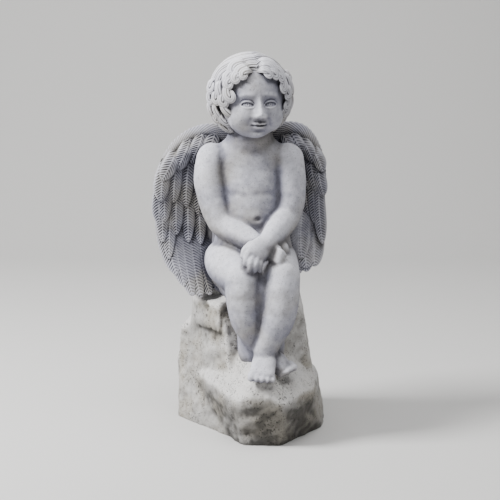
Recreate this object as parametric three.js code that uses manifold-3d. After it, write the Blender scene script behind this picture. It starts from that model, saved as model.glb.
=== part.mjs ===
// A winged cherub seated on a rock, cast in stone as one piece.
// Millimetres, +Z up. The figure faces -Y, its right side is at -X, and the origin is the
// middle of the rock's flat underside.
import * as THREE from "three";
import { LoftGeometry } from "three/addons/geometries/LoftGeometry.js";
import { mergeVertices } from "three/addons/utils/BufferGeometryUtils.js";
import Module from "manifold-3d";

const wasm = await Module();
wasm.setup();

// Directions
const FRONT = new THREE.Vector3(0, -1, 0);
const UP = new THREE.Vector3(0, 0, 1);

// Stone
const STONE_COLOUR = 0xa9a8a6;
const STONE_ROUGHNESS = 0.9;
const SMALLEST_DETAIL = 0.9;

// Body. Each station is x, y, z of a section's middle, its half width and, where it is oval, its
// half depth.
const TORSO = [
  [4, 28, 210, 50, 36],
  [4, 24, 236, 68, 49],
  [4, 20, 262, 73, 54],
  [4, 15, 296, 65, 53],
  [4, 12, 330, 58, 51],
  [3, 13, 362, 54, 48],
  [2, 16, 392, 53, 44],
  [1, 19, 420, 56, 41],
  [0, 19, 446, 58, 36],
  [0, 18, 462, 50, 32],
  [0, 17, 473, 38, 29],
];
const NECK = [
  [0, 18, 454, 40, 31],
  [2, 10, 480, 33, 31],
  [3, 6, 506, 30, 30],
];
// Stone left between each arm, the side and the wing
const RIGHT_SIDE = [
  [-50, 34, 432, 22],
  [-48, 37, 380, 22],
  [-42, 42, 330, 22],
  [-40, 46, 275, 24],
];
const LEFT_SIDE = RIGHT_SIDE.map(([x, ...rest]) => [-x, ...rest]);
const RIGHT_ARM = [
  [-61, 17, 438, 27],
  [-65, 8, 406, 27],
  [-58, 1, 372, 26],
  [-43, -10, 338, 24.5],
  [-16, -35, 323, 21],
  [8, -57, 312, 16.5],
  [22, -68, 307, 14],
];
const LEFT_ARM = [
  [61, 17, 438, 27],
  [66, 8, 406, 25.5],
  [66, 2, 376, 24.5],
  [59, -8, 350, 23.5],
  [45, -37, 331, 21],
  [32, -64, 319, 17],
  [25, -77, 313, 15],
];
// Stone left under the forearms, between the legs and under the right thigh
const LAP = [
  [-30, -26, 306, 26],
  [8, -44, 304, 29],
  [40, -58, 298, 25],
];
const BETWEEN_LEGS = [
  [16, -14, 246, 38],
  [17, -56, 238, 38],
  [17, -58, 190, 40],
  [18, -62, 140, 40],
];
const UNDER_THIGH = [
  [-40, 26, 226, 26],
  [-31, -22, 222, 25],
  [-12, -50, 204, 26],
];
const RIGHT_THIGH = [
  [-40, 22, 270, 36],
  [-35, -32, 269, 34],
  [-12, -82, 258, 30],
];
const LEFT_THIGH = [
  [42, 22, 270, 36],
  [46, -32, 267, 33],
  [49, -78, 260, 31],
];
const RIGHT_SHIN = [
  [-12, -82, 258, 29],
  [-11, -92, 226, 27],
  [-6, -95, 192, 23.5],
  [8, -94, 164, 18.5],
  [24, -91, 143, 15.5],
];
const LEFT_SHIN = [
  [49, -78, 260, 31],
  [48, -92, 228, 30],
  [43, -99, 197, 28],
  [32, -105, 168, 22],
  [24, -108, 148, 19],
];

// Feet
const LEFT_FOOT = [
  [27, -94, 138, 16, 14],
  [23, -116, 134, 19, 14],
  [19, -136, 117, 21, 9.5],
];
const RIGHT_FOOT = [
  [26, -88, 138, 15, 13],
  [42, -101, 132, 17, 12],
  [53, -110, 122, 18, 8.5],
];
const TOE_RADII = [6.6, 5.5, 5.3, 5, 4.6];
const LEFT_TOES = {
  first: [3, -140, 117],
  last: [36, -138, 112],
  point: [-1, -6, -3],
  sag: 4,
  radii: TOE_RADII,
};
const RIGHT_TOES = {
  first: [64, -107, 125],
  last: [43, -117, 115],
  point: [5, -6, -3],
  sag: 3,
  radii: TOE_RADII,
};

// Hands
const LEFT_PALM = [
  [27, -74, 315, 16, 13],
  [16, -88, 307, 19, 11],
  [9, -95, 300, 19, 9],
];
const RIGHT_PALM = [
  [18, -66, 308, 14, 12],
  [32, -76, 302, 16, 10],
  [44, -79, 296, 16, 9],
];
const FINGERTIP = 0.82;
const LEFT_DIGITS = [
  { knuckle: [1, -86, 316], middle: [-8, -93, 308], tip: [-12, -97, 297], radius: 4.9 },
  { knuckle: [0, -92, 308], middle: [-5, -101, 298], tip: [-8, -103, 286], radius: 5.1 },
  { knuckle: [6, -96, 301], middle: [1, -106, 290], tip: [-1, -107, 278], radius: 5.1 },
  { knuckle: [12, -97, 297], middle: [9, -106, 287], tip: [8, -106, 276], radius: 4.9 },
  { knuckle: [18, -96, 294], middle: [16, -103, 285], tip: [16, -103, 275], radius: 4.5 },
];
// The right hand's fingers lie one under the other, each a step on from the last.
const RIGHT_FINGER_COUNT = 4;
const RIGHT_FINGER_STEP = [-1.8, -2.6, -5.4];
const RIGHT_FINGER_RADIUS = 3.8;
const RIGHT_FINGER_BENDS = { knuckle: [40, -78, 307], middle: [48, -84, 304], tip: [54, -80, 296] };
const RIGHT_DIGITS = Array.from({ length: RIGHT_FINGER_COUNT }, (_, i) => {
  const stepped = (place) => place.map((value, axis) => value + i * RIGHT_FINGER_STEP[axis]);
  const { knuckle, middle, tip } = RIGHT_FINGER_BENDS;
  return {
    knuckle: stepped(knuckle),
    middle: stepped(middle),
    tip: stepped(tip),
    radius: RIGHT_FINGER_RADIUS,
  };
});

// Head, in its own axes, with sizes from the middle of the skull, turned about the neck
const HEAD_MIDDLE = new THREE.Vector3(1, 2, 541);
const HEAD_TURN = THREE.MathUtils.degToRad(14);
const SKULL = {
  middle: new THREE.Vector3(0, 0, 0),
  radii: new THREE.Vector3(55, 58, 60),
  columns: 16,
  rows: 10,
};
const FACE = {
  middle: new THREE.Vector3(0, -16, -17),
  radii: new THREE.Vector3(47, 46, 48),
  columns: 23,
  rows: 21,
};
const FRONT_CROWDING = 0.6;
const POLE = THREE.MathUtils.degToRad(84);

// Hair: a thick cap round the skull with an opening for the face. The opening is given as the
// angle away from the way the face looks, above it, beside it and at the nape.
const HAIR = { middle: new THREE.Vector3(0, 9, 4), radii: new THREE.Vector3(64, 64, 65) };
const HAIRLINE = { above: 37, beside: 50, nape: 116 };
const HAIR_BACK = 176;
const HAIR_COLUMNS = 34;
// Each ring's share of the way from the hairline to the back, its lift off the cap, and how deep
// the locks are carved there
const HAIR_RINGS = [
  { share: -0.1, lift: -14, carve: 0 },
  { share: 0, lift: 1, carve: 2 },
  { share: 0.08, lift: 4.5, carve: 2.5 },
  { share: 0.26, lift: 2.5, carve: 2.5 },
  { share: 0.48, lift: 0, carve: 2.5 },
  { share: 0.72, lift: 0, carve: 2 },
  { share: 0.98, lift: 0, carve: 0 },
];
const HAIR_LOCKS = 9;
const HAIR_SWIRL = 0.5;
const HAIR_SCALLOP = 3;
// Locks that hang beside the jaw
const SIDE_LOCKS = [
  [
    [-48, 14, 528, 18],
    [-47, 8, 508, 18],
    [-32, 10, 490, 16],
  ],
  [
    [-46, -18, 522, 12],
    [-47, -13, 506, 12],
    [-34, -6, 494, 13],
  ],
  [
    [46, 28, 524, 17],
    [44, 24, 504, 16],
    [30, 22, 490, 15],
  ],
];

// Wings, drawn in the front view as x and z, and bent back in y by the wing's own surface.
// A row's roots and tips run along a curve through three points.
const WING_SPINE = 68;
const WING_SWEEP = 0.1;
const FEATHER_CROWN = 3.2;
const FEATHER_PLACES = [0, 0.55, 0.85, 0.985];
const FEATHER_TIP = 0.4;
const WING_CURL = { below: 318, drop: 100, forward: 62 };
const RIGHT_WING = {
  side: -1,
  web: [
    [-48, 62, 452, 24, 10],
    [-50, 60, 380, 28, 10],
    [-52, 58, 300, 26, 10],
    [-50, 48, 236, 18, 9],
  ],
  arm: [
    [-28, 66, 458, 16, 11],
    [-62, 74, 477, 14, 13],
    [-97, 72, 470, 13, 13],
    [-126, 64, 448, 11, 11],
    [-144, 57, 412, 9, 9],
    [-152, 54, 376, 6, 6],
  ],
  rows: [
    {
      roots: [[-70, 370], [-105, 400], [-140, 390]],
      tips: [[-50, 222], [-86, 211], [-120, 246]],
      bow: -22, count: 6, width: 17, thick: 6,
    },
    {
      roots: [[-124, 400], [-136, 404], [-144, 400]],
      tips: [[-134, 270], [-145, 296], [-150, 326]],
      bow: -7, count: 3, width: 13, thick: 6,
    },
    {
      roots: [[-78, 430], [-105, 430], [-134, 430]],
      tips: [[-82, 292], [-112, 300], [-141, 330]],
      bow: -7, count: 4, width: 15, thick: 8.5,
    },
    {
      roots: [[-74, 462], [-105, 458], [-136, 432]],
      tips: [[-86, 342], [-116, 360], [-147, 364]],
      bow: -6, count: 4, width: 15, thick: 11,
    },
    {
      roots: [[-58, 476], [-88, 472], [-120, 452]],
      tips: [[-76, 436], [-110, 424], [-146, 400]],
      bow: 4, count: 4, width: 15, thick: 14.5,
    },
  ],
};
const LEFT_WING = {
  side: 1,
  web: RIGHT_WING.web.map(([x, ...rest]) => [-x, ...rest]),
  arm: [
    [28, 66, 458, 16, 11],
    [58, 74, 480, 14, 13],
    [84, 72, 478, 13, 13],
    [104, 66, 458, 11, 11],
    [116, 60, 424, 9, 9],
    [121, 56, 390, 6, 6],
  ],
  rows: [
    {
      roots: [[84, 352], [100, 362], [114, 350]],
      tips: [[80, 246], [94, 250], [108, 258]],
      bow: 10, count: 3, width: 19, thick: 6,
    },
    {
      roots: [[82, 360], [86, 362], [90, 362]],
      tips: [[76, 272], [86, 270], [94, 272]],
      bow: 8, count: 2, width: 18, thick: 9,
    },
    {
      roots: [[70, 420], [98, 424], [114, 406]],
      tips: [[84, 346], [104, 336], [121, 294]],
      bow: 5, count: 4, width: 12, thick: 11,
    },
    {
      roots: [[62, 456], [92, 452], [112, 430]],
      tips: [[82, 388], [104, 384], [123, 374]],
      bow: 5, count: 4, width: 12, thick: 12.5,
    },
    {
      roots: [[54, 474], [76, 474], [100, 456]],
      tips: [[74, 436], [96, 434], [120, 414]],
      bow: -4, count: 4, width: 12, thick: 15,
    },
  ],
};

// Rock. Each block is bounded by flats: a point on the flat, then the compass angle (0 at +X, 90
// at the back) and the climb of the way it faces. A higher sharpness leaves crisper edges.
const BLOCKS = {
  base: {
    middle: [5, -20, 50],
    sharpness: 22,
    flats: [
      [[0, 0, -40], 0, -90],
      [[-55, -72, 78], 206, -8],
      [[-55, -72, 78], 210, 38],
      [[-22, -134, 56], 240, -8],
      [[36, -149, 62], -90, -13],
      [[19, -144, 98], -95, 32],
      [[20, -115, 119], -90, 71],
      [[80, -104, 40], -34, -11],
      [[66, -108, 100], -52, 44],
      [[97, -60, 96], -26, 46],
      [[102, 10, 90], 2, 44],
      [[118, -5, 30], -6, 9],
      [[119, 60, 40], 14, 4],
      [[92, 98, 50], 48, 6],
      [[0, 118, 60], 91, 5],
      [[-112, 108, 50], 146, 2],
      [[-127, 90, 40], 180, 0],
    ],
  },
  column: {
    middle: [-10, 40, 100],
    sharpness: 34,
    flats: [
      [[0, 0, -40], 0, -90],
      [[-121, 60, 110], 180, 0],
      [[-112, 60, 156], 195, 45],
      [[-43, -38, 184], 216, 7],
      [[-43, -38, 184], -70, 22],
      [[60, -50, 140], -48, 10],
      [[84, 20, 140], 2, 6],
      [[78, 92, 120], 46, 10],
      [[0, 117, 120], 90, 12],
      [[-88, 92, 120], 136, 8],
      [[0, 0, 204], 180, 84],
    ],
  },
  ledge: {
    middle: [-40, 30, 185],
    sharpness: 40,
    flats: [
      [[-64, -15, 160], 212, -66],
      [[-50, -40, 190], 212, 4],
      [[-50, -40, 190], -55, 3],
      [[-97, 30, 190], 182, 2],
      [[30, 20, 190], 10, 0],
      [[-40, 85, 190], 90, 4],
      [[-60, 0, 209], 200, 80],
    ],
  },
  seat: {
    middle: [25, 30, 175],
    sharpness: 30,
    flats: [
      [[0, 0, 90], 0, -90],
      [[-14, -40, 190], 215, 4],
      [[20, -58, 190], -88, 14],
      [[64, -44, 190], -48, 9],
      [[86, 20, 200], 2, 8],
      [[70, 82, 190], 46, 8],
      [[0, 106, 190], 90, 8],
      [[-60, 80, 190], 136, 8],
      [[0, 0, 214], 0, 87],
    ],
  },
};
const BLOCK_COLUMNS = 18;
const BLOCK_ROWS = 10;
const FLOOR_CUT = 400;

const vector = ([x, y, z]) => new THREE.Vector3(x, y, z);

// A closed geometry as a solid: shared corners merged, collapsed faces dropped, faces turned out.
function solid(geometry) {
  const bare = new THREE.BufferGeometry();
  bare.setAttribute("position", geometry.getAttribute("position"));
  bare.setIndex(geometry.getIndex());
  const merged = mergeVertices(bare, 1e-4);
  const corners = merged.getIndex().array;
  const faces = [];
  for (let i = 0; i < corners.length; i += 3) {
    const [a, b, c] = corners.slice(i, i + 3);
    if (a !== b && b !== c && c !== a) faces.push([a, b, c]);
  }
  const close = (triangles) =>
    new wasm.Manifold(
      new wasm.Mesh({
        numProp: 3,
        vertProperties: merged.getAttribute("position").array,
        triVerts: new Uint32Array(triangles.flat()),
      }),
    );
  const made = close(faces);
  return made.volume() > 0 ? made : close(faces.map((face) => face.toReversed()));
}

// A solid skinned over a row of closed sections.
const loft = (sections) => solid(new LoftGeometry(sections, { capStart: true, capEnd: true }));

// An oval profile carried along a smooth curve through the stations, with domed ends.
function limb(stations, { sides = 8, rings = 6, up = FRONT, domes = [62] } = {}) {
  const path = new THREE.CatmullRomCurve3(stations.map(vector));
  const girth = new THREE.CatmullRomCurve3(
    stations.map(([, , , wide, deep = wide]) => new THREE.Vector3(wide, deep, 0)),
  );
  const angles = domes.map(THREE.MathUtils.degToRad);
  const places = [
    ...angles.map((angle) => ({ at: 0, angle: -angle })),
    ...Array.from({ length: rings + 1 }, (_, i) => ({ at: i / rings, angle: 0 })),
    ...angles.toReversed().map((angle) => ({ at: 1, angle })),
  ];
  return loft(
    places.map(({ at, angle }) => {
      const along = path.getTangent(at);
      const across = new THREE.Vector3().crossVectors(up, along).normalize();
      const deep = new THREE.Vector3().crossVectors(along, across);
      const size = girth.getPoint(at);
      const middle = path.getPoint(at).addScaledVector(along, Math.min(size.x, size.y) * Math.sin(angle));
      return Array.from({ length: sides }, (_, i) => {
        const turn = (2 * Math.PI * i) / sides;
        return middle
          .clone()
          .addScaledVector(across, size.x * Math.cos(angle) * Math.cos(turn))
          .addScaledVector(deep, size.y * Math.cos(angle) * Math.sin(turn));
      });
    }),
  );
}

const fuse = (solids) => wasm.Manifold.union(solids);

// A block of rock: the distance out to its face each way is the p-norm of its flats, which
// leaves every edge a little round.
function block({ middle, sharpness, flats }) {
  const planes = flats.map(([through, compass, climb]) => {
    const turn = THREE.MathUtils.degToRad(compass);
    const lift = THREE.MathUtils.degToRad(climb);
    const normal = new THREE.Vector3(
      Math.cos(lift) * Math.cos(turn),
      Math.cos(lift) * Math.sin(turn),
      Math.sin(lift),
    );
    return normal.divideScalar(vector(through).sub(vector(middle)).dot(normal));
  });
  const ball = new THREE.SphereGeometry(1, BLOCK_COLUMNS, BLOCK_ROWS).rotateX(Math.PI / 2);
  const corners = ball.getAttribute("position");
  const corner = new THREE.Vector3();
  for (let i = 0; i < corners.count; i += 1) {
    corner.fromBufferAttribute(corners, i).normalize();
    const cuts = planes.map((plane) => Math.max(0, corner.dot(plane)) ** sharpness);
    const reach = cuts.reduce((total, cut) => total + cut, 0) ** (-1 / sharpness);
    corner.multiplyScalar(reach).add(vector(middle));
    corners.setXYZ(i, corner.x, corner.y, corner.z);
  }
  return solid(ball);
}

// Toes fanned between a first and a last root, all pointing one way.
function fan({ first, last, point, radii, sag = 0 }) {
  return radii.map((radius, i) => {
    const step = i / (radii.length - 1);
    const root = vector(first).lerp(vector(last), step);
    root.addScaledVector(FRONT, sag * Math.sin(Math.PI * step));
    const tip = root.clone().add(vector(point));
    const stations = [root, root.clone().lerp(tip, 0.5), tip].map((p) => [...p.toArray(), radius]);
    return limb(stations, { sides: 5, rings: 1, up: UP });
  });
}

// Fingers that bend at a middle joint and narrow towards the tip.
function digits(list) {
  return list.map(({ knuckle, middle, tip, radius }) =>
    limb(
      [
        [...knuckle, radius],
        [...middle, radius],
        [...tip, radius * FINGERTIP],
      ],
      { sides: 5, rings: 2 },
    ),
  );
}

// A rounded rise of height 1 that fades over the two spreads.
const rise = (dx, dz, spreadX, spreadZ) => Math.exp(-0.5 * ((dx / spreadX) ** 2 + (dz / spreadZ) ** 2));

// How far the face stands out from the egg of the head, on the proportions of a small child's
// face: eyes below the middle, a short nose, full cheeks and a small chin.
function faceRelief(x, z) {
  const side = Math.abs(x);
  const sockets = -5.5 * rise(side - 17.5, z + 7, 10, 6.5);
  const eyes = 5 * rise(side - 18.5, z + 10, 6.5, 4.2);
  const brows = 2 * rise(side - 16, z - 6, 11, 4);
  const bridge = 6 * rise(x, z + 13, 4.5, 9);
  const noseTip = 9 * rise(x, z + 27, 5.5, 5);
  const nostrils = 4 * rise(side - 7.5, z + 29, 3.5, 3.2);
  const cheeks = 4 * rise(side - 24, z + 29, 12, 12);
  const lips = 5.5 * rise(x, z + 43.5, 9.5, 5) - 4.5 * rise(x, z + 43.5, 12, 1.8);
  const chin = 5 * rise(x, z + 57.5, 9, 5.5);
  return sockets + eyes + brows + bridge + noseTip + nostrils + cheeks + lips + chin;
}

// A point given in the head's own axes, carried to its place on the turned head.
const onHead = (point) => point.applyAxisAngle(UP, HEAD_TURN).add(HEAD_MIDDLE);

// An egg in level rings, crowded towards the front, with the face raised forwards on it.
function headEgg({ middle, radii, columns, rows }) {
  const rings = Array.from({ length: rows + 1 }, (_, row) => {
    const latitude = POLE * ((2 * row) / rows - 1);
    return Array.from({ length: columns }, (_, column) => {
      const even = (2 * Math.PI * column) / columns;
      const azimuth = even - FRONT_CROWDING * Math.sin(even);
      const point = new THREE.Vector3(
        Math.sin(azimuth) * Math.cos(latitude),
        -Math.cos(azimuth) * Math.cos(latitude),
        Math.sin(latitude),
      );
      const facing = Math.max(0, -point.y);
      point.multiply(radii).add(middle);
      point.y -= faceRelief(point.x, point.z) * Math.min(1, 1.6 * facing);
      return onHead(point);
    });
  });
  return loft(rings);
}

// How far from the way the face looks the hair begins, at a clock angle about the face.
function hairline(clock) {
  const { above, beside, nape } = HAIRLINE;
  const down = Math.abs(clock) / Math.PI;
  return down < 0.5 ? above + (beside - above) * 2 * down : beside + (nape - beside) * (2 * down - 1);
}

// The hair, in rings that step back from the hairline, with locks swept to either side of a
// parting above the face and their ends scalloping the hairline.
function hair() {
  const rings = HAIR_RINGS.map(({ share, lift, carve }) =>
    Array.from({ length: HAIR_COLUMNS }, (_, column) => {
      const clock = (2 * Math.PI * column) / HAIR_COLUMNS - Math.PI;
      const start = hairline(clock);
      const ridge = Math.cos(HAIR_LOCKS * Math.abs(clock) - HAIR_SWIRL * share * HAIR_LOCKS);
      const edge = HAIR_SCALLOP * ridge * Math.max(0, 1 - 5 * share);
      const away = THREE.MathUtils.degToRad(start + (HAIR_BACK - start) * share - edge);
      const point = new THREE.Vector3(
        Math.sin(away) * Math.sin(clock),
        -Math.cos(away),
        Math.sin(away) * Math.cos(clock),
      );
      const radii = HAIR.radii.clone().addScalar(lift + carve * ridge);
      return onHead(point.multiply(radii).add(HAIR.middle));
    }),
  );
  return loft(rings);
}

// The depth of a wing's middle surface: swept a little forwards with the span and curled towards
// the front below.
function wingDepth(x, z) {
  const drop = THREE.MathUtils.clamp((WING_CURL.below - z) / WING_CURL.drop, 0, 1);
  return WING_SPINE - WING_SWEEP * Math.abs(x) - WING_CURL.forward * drop ** 1.5;
}

// A feather: a blade crowned along its shaft, on a bowed centreline, with a round tip.
function feather(root, tip, bow, width, thick, side) {
  const [from, to] = [root, tip].map(([x, z]) => new THREE.Vector2(x, z));
  const run = to.clone().sub(from).normalize();
  const square = new THREE.Vector2(run.y, -run.x).multiplyScalar(side);
  const knee = from.clone().lerp(to, 0.5).addScaledVector(square, bow);
  const line = new THREE.QuadraticBezierCurve(from, knee, to);
  return loft(
    FEATHER_PLACES.map((at) => {
      const middle = line.getPoint(at);
      const along = line.getTangent(at);
      const tipFade = Math.sqrt(1 - Math.max(0, (at - 1) / FEATHER_TIP + 1) ** 2);
      const half = width * (0.7 + 0.3 * Math.sin(Math.PI * Math.min(at / 1.2, 0.5))) * tipFade;
      const ridge = thick * (0.65 + 0.35 * tipFade);
      const edge = ridge - FEATHER_CROWN * tipFade;
      const section = [[1, edge], [0, ridge], [-1, edge], [-1, -edge], [0, -ridge], [1, -edge]];
      return section.map(([across, depth]) => {
        const x = middle.x + along.y * half * across;
        const z = middle.y - along.x * half * across;
        return new THREE.Vector3(x, wingDepth(x, z) + depth, z);
      });
    }),
  );
}

// A wing: a web that joins it to the back, the rounded arm along its leading edge, and rows of
// feathers that lie over each other.
function wing({ side, web, arm, rows }) {
  const through = (points) => new THREE.SplineCurve(points.map(([x, z]) => new THREE.Vector2(x, z)));
  const feathers = rows.flatMap(({ roots, tips, bow, count, width, thick }) =>
    Array.from({ length: count }, (_, i) => {
      const step = i / (count - 1);
      const root = through(roots).getPoint(step).toArray();
      const tip = through(tips).getPoint(step).toArray();
      return feather(root, tip, bow, width, thick, side);
    }),
  );
  return [limb(web, { sides: 8, rings: 3 }), limb(arm, { sides: 7, rings: 5 }), ...feathers];
}

function body() {
  return [
    limb(TORSO, { sides: 12, rings: 8 }),
    limb(NECK, { sides: 10, rings: 2 }),
    limb(RIGHT_SIDE, { sides: 7, rings: 3 }),
    limb(LEFT_SIDE, { sides: 7, rings: 3 }),
    limb(RIGHT_ARM),
    limb(LEFT_ARM),
    limb(RIGHT_THIGH, { up: UP, rings: 3 }),
    limb(LEFT_THIGH, { up: UP, rings: 3 }),
    limb(LAP, { sides: 7, rings: 2, up: UP }),
    limb(BETWEEN_LEGS, { rings: 3 }),
    limb(UNDER_THIGH, { sides: 7, rings: 2, up: UP }),
    limb(RIGHT_SHIN),
    limb(LEFT_SHIN),
  ];
}

function hands() {
  return [
    limb(LEFT_PALM, { sides: 8, rings: 2 }),
    limb(RIGHT_PALM, { sides: 8, rings: 2 }),
    ...digits(LEFT_DIGITS),
    ...digits(RIGHT_DIGITS),
  ];
}

function feet() {
  return [
    limb(LEFT_FOOT, { up: UP, rings: 3 }),
    limb(RIGHT_FOOT, { up: UP, rings: 3 }),
    ...fan(LEFT_TOES),
    ...fan(RIGHT_TOES),
  ];
}

// The rock, sawn flat at the ground.
function rock() {
  const below = new THREE.BoxGeometry(2 * FLOOR_CUT, 2 * FLOOR_CUT, FLOOR_CUT);
  below.translate(0, 0, -FLOOR_CUT / 2);
  return fuse(Object.values(BLOCKS).map(block)).subtract(solid(below));
}

function statue() {
  const whole = fuse([
    rock(),
    ...body(),
    ...hands(),
    ...feet(),
    headEgg(SKULL),
    headEgg(FACE),
    hair(),
    ...SIDE_LOCKS.map((lock) => limb(lock, { sides: 7, rings: 3 })),
    ...wing(RIGHT_WING),
    ...wing(LEFT_WING),
  ]).simplify(SMALLEST_DETAIL);
  const { numProp, vertProperties, triVerts } = whole.getMesh();
  const geometry = new THREE.BufferGeometry();
  geometry.setAttribute("position", new THREE.BufferAttribute(vertProperties, numProp));
  geometry.setIndex(new THREE.BufferAttribute(triVerts, 1));
  geometry.computeVertexNormals();
  const stone = new THREE.MeshStandardMaterial({
    color: STONE_COLOUR,
    roughness: STONE_ROUGHNESS,
    metalness: 0,
  });
  const mesh = new THREE.Mesh(geometry, stone);
  mesh.name = "cherub_statue";
  return mesh;
}

const cherub = new THREE.Group();
cherub.add(statue());

export default cherub;
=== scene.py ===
"""The looks of a cast-stone cherub that sits on a rock.

The casting is shown as eight pieces that stand for the one solid: body, head, hair cap, tresses,
two wings, the left wing's lower lobes and rock. Each has the solid's own forms, carved finer, and
the pieces meet where the carving has a crease. Sizes are in millimetres of the solid, and MM turns
them into metres.
"""

import math
from collections import namedtuple

import bmesh
import bpy
import numpy as np
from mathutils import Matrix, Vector


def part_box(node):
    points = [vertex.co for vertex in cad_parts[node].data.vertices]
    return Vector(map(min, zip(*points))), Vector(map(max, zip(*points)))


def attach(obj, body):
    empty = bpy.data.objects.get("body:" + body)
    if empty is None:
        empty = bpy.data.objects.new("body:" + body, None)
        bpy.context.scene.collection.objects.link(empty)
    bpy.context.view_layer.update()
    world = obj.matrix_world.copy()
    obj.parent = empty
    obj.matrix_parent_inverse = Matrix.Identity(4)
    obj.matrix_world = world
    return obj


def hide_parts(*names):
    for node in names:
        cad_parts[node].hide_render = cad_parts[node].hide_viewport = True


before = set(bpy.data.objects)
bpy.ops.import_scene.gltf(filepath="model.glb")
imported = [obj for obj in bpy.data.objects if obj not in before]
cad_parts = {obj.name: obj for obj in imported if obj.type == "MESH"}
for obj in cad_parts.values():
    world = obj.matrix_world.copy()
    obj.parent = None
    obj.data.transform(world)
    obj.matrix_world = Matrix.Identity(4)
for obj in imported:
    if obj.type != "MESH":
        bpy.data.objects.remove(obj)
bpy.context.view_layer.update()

NODE = "cherub_statue"
SOLID_HEIGHT = 610.95
MM = (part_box(NODE)[1][2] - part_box(NODE)[0][2]) / SOLID_HEIGHT

FRONT = np.array([0.0, -1.0, 0.0])
UP = np.array([0.0, 0.0, 1.0])

# Body: each station is x, y, z of a section's middle, its half width and, where it is oval, its
# half depth.
TORSO = [
    (4, 28, 210, 50, 36),
    (4, 24, 236, 68, 49),
    (4, 20, 262, 73, 54),
    (4, 15, 296, 65, 53),
    (4, 12, 330, 58, 51),
    (3, 13, 362, 54, 48),
    (2, 16, 392, 53, 44),
    (1, 19, 420, 56, 41),
    (0, 19, 446, 58, 36),
    (0, 18, 462, 50, 32),
    (0, 17, 473, 38, 29),
]
NECK = [(0, 18, 454, 40, 31), (2, 10, 480, 33, 31), (3, 6, 506, 30, 30)]
RIGHT_SIDE = [(-50, 34, 432, 22), (-48, 37, 380, 22), (-42, 42, 330, 22), (-40, 46, 275, 24)]
LEFT_SIDE = [(-x, y, z, r) for x, y, z, r in RIGHT_SIDE]
RIGHT_ARM = [
    (-61, 17, 438, 27),
    (-65, 8, 406, 27),
    (-58, 1, 372, 26),
    (-43, -10, 338, 24.5),
    (-16, -35, 323, 21),
    (8, -57, 312, 16.5),
    (22, -68, 307, 14),
]
LEFT_ARM = [
    (61, 17, 438, 27),
    (66, 8, 406, 25.5),
    (66, 2, 376, 24.5),
    (59, -8, 350, 23.5),
    (45, -37, 331, 21),
    (32, -64, 319, 17),
    (25, -77, 313, 15),
]
LAP = [(-30, -8, 304, 22), (8, -30, 302, 27), (40, -46, 298, 23)]
BETWEEN_LEGS = [(16, -14, 246, 38), (17, -64, 238, 38), (17, -68, 190, 38), (18, -62, 140, 38)]
UNDER_THIGH = [(-34, 26, 230, 24), (-26, -14, 228, 20), (-6, -44, 206, 20)]
RIGHT_THIGH = [(-40, 22, 270, 36), (-35, -32, 269, 34), (-12, -82, 258, 30)]
LEFT_THIGH = [(42, 22, 270, 36), (46, -32, 267, 33), (49, -78, 260, 31)]
RIGHT_SHIN = [
    (-12, -82, 258, 29),
    (-11, -92, 226, 27),
    (-6, -95, 192, 23.5),
    (8, -94, 164, 18.5),
    (24, -91, 143, 15.5),
]
LEFT_SHIN = [
    (49, -78, 260, 31),
    (48, -92, 228, 30),
    (43, -99, 197, 28),
    (32, -105, 168, 22),
    (24, -108, 148, 19),
]

# Feet and hands
LEFT_FOOT = [(27, -94, 138, 16, 14), (23, -116, 134, 19, 14), (19, -136, 117, 21, 9.5)]
RIGHT_FOOT = [(26, -88, 138, 15, 13), (42, -101, 132, 17, 12), (53, -110, 122, 18, 8.5)]
TOE_RADII = [6.6, 5.5, 5.3, 5, 4.6]
LEFT_TOES = {"first": (3, -140, 117), "last": (36, -138, 112), "point": (-1, -6, -3), "sag": 4}
RIGHT_TOES = {"first": (64, -107, 125), "last": (43, -117, 115), "point": (5, -6, -3), "sag": 3}
LEFT_PALM = [(27, -74, 315, 16, 13), (16, -88, 307, 19, 11), (9, -95, 300, 19, 9)]
RIGHT_PALM = [(18, -66, 308, 14, 12), (32, -75, 302, 15, 9), (42, -76, 297, 15, 7)]
LEFT_DIGITS = [
    ((1, -86, 316), (-8, -93, 308), (-12, -97, 297), 4.9),
    ((0, -92, 308), (-5, -101, 298), (-8, -103, 286), 5.1),
    ((6, -96, 301), (1, -106, 290), (-1, -107, 278), 5.1),
    ((12, -97, 297), (9, -106, 287), (8, -106, 276), 4.9),
    ((18, -96, 294), (16, -103, 285), (16, -103, 275), 4.5),
]
FINGERTIP = 0.82
RIGHT_FINGER_COUNT = 4
RIGHT_FINGER_STEP = np.array([-1.8, -2.6, -5.4])
RIGHT_FINGER_RADIUS = 3.8
RIGHT_FINGER_BENDS = np.array([(40, -79, 307), (49, -87, 304), (56, -84, 296)])
RIGHT_DIGITS = [
    (*(RIGHT_FINGER_BENDS + i * RIGHT_FINGER_STEP), RIGHT_FINGER_RADIUS)
    for i in range(RIGHT_FINGER_COUNT)
]
NAVEL = (13, -40, 347)
KNEES = [(-8, -112, 252), (50, -110, 254)]
BODY_PITCH = 2.0
SKIN_PITCH = 1.85
TRUNK_MELT = 8
LIMB_MELT = 4
SHOULDER_SLIMMING = 0.72
SHOULDER_DROP = 6
NAVEL_RIM = 1.2
NAVEL_DEPTH = 4.2
SKIN_GRAIN = 0.25
BREAST_SIDE = 26
BREAST_RISE = 2.4
BREAST_FOLD = 0.9
KNEE_RISE = 2.2
KNEE_FOLD = 1.2
KNEE_FOLD_DROP = 20
GAP_DEPTH = 1.6
GAP_WIDTH = 1.3

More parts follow.
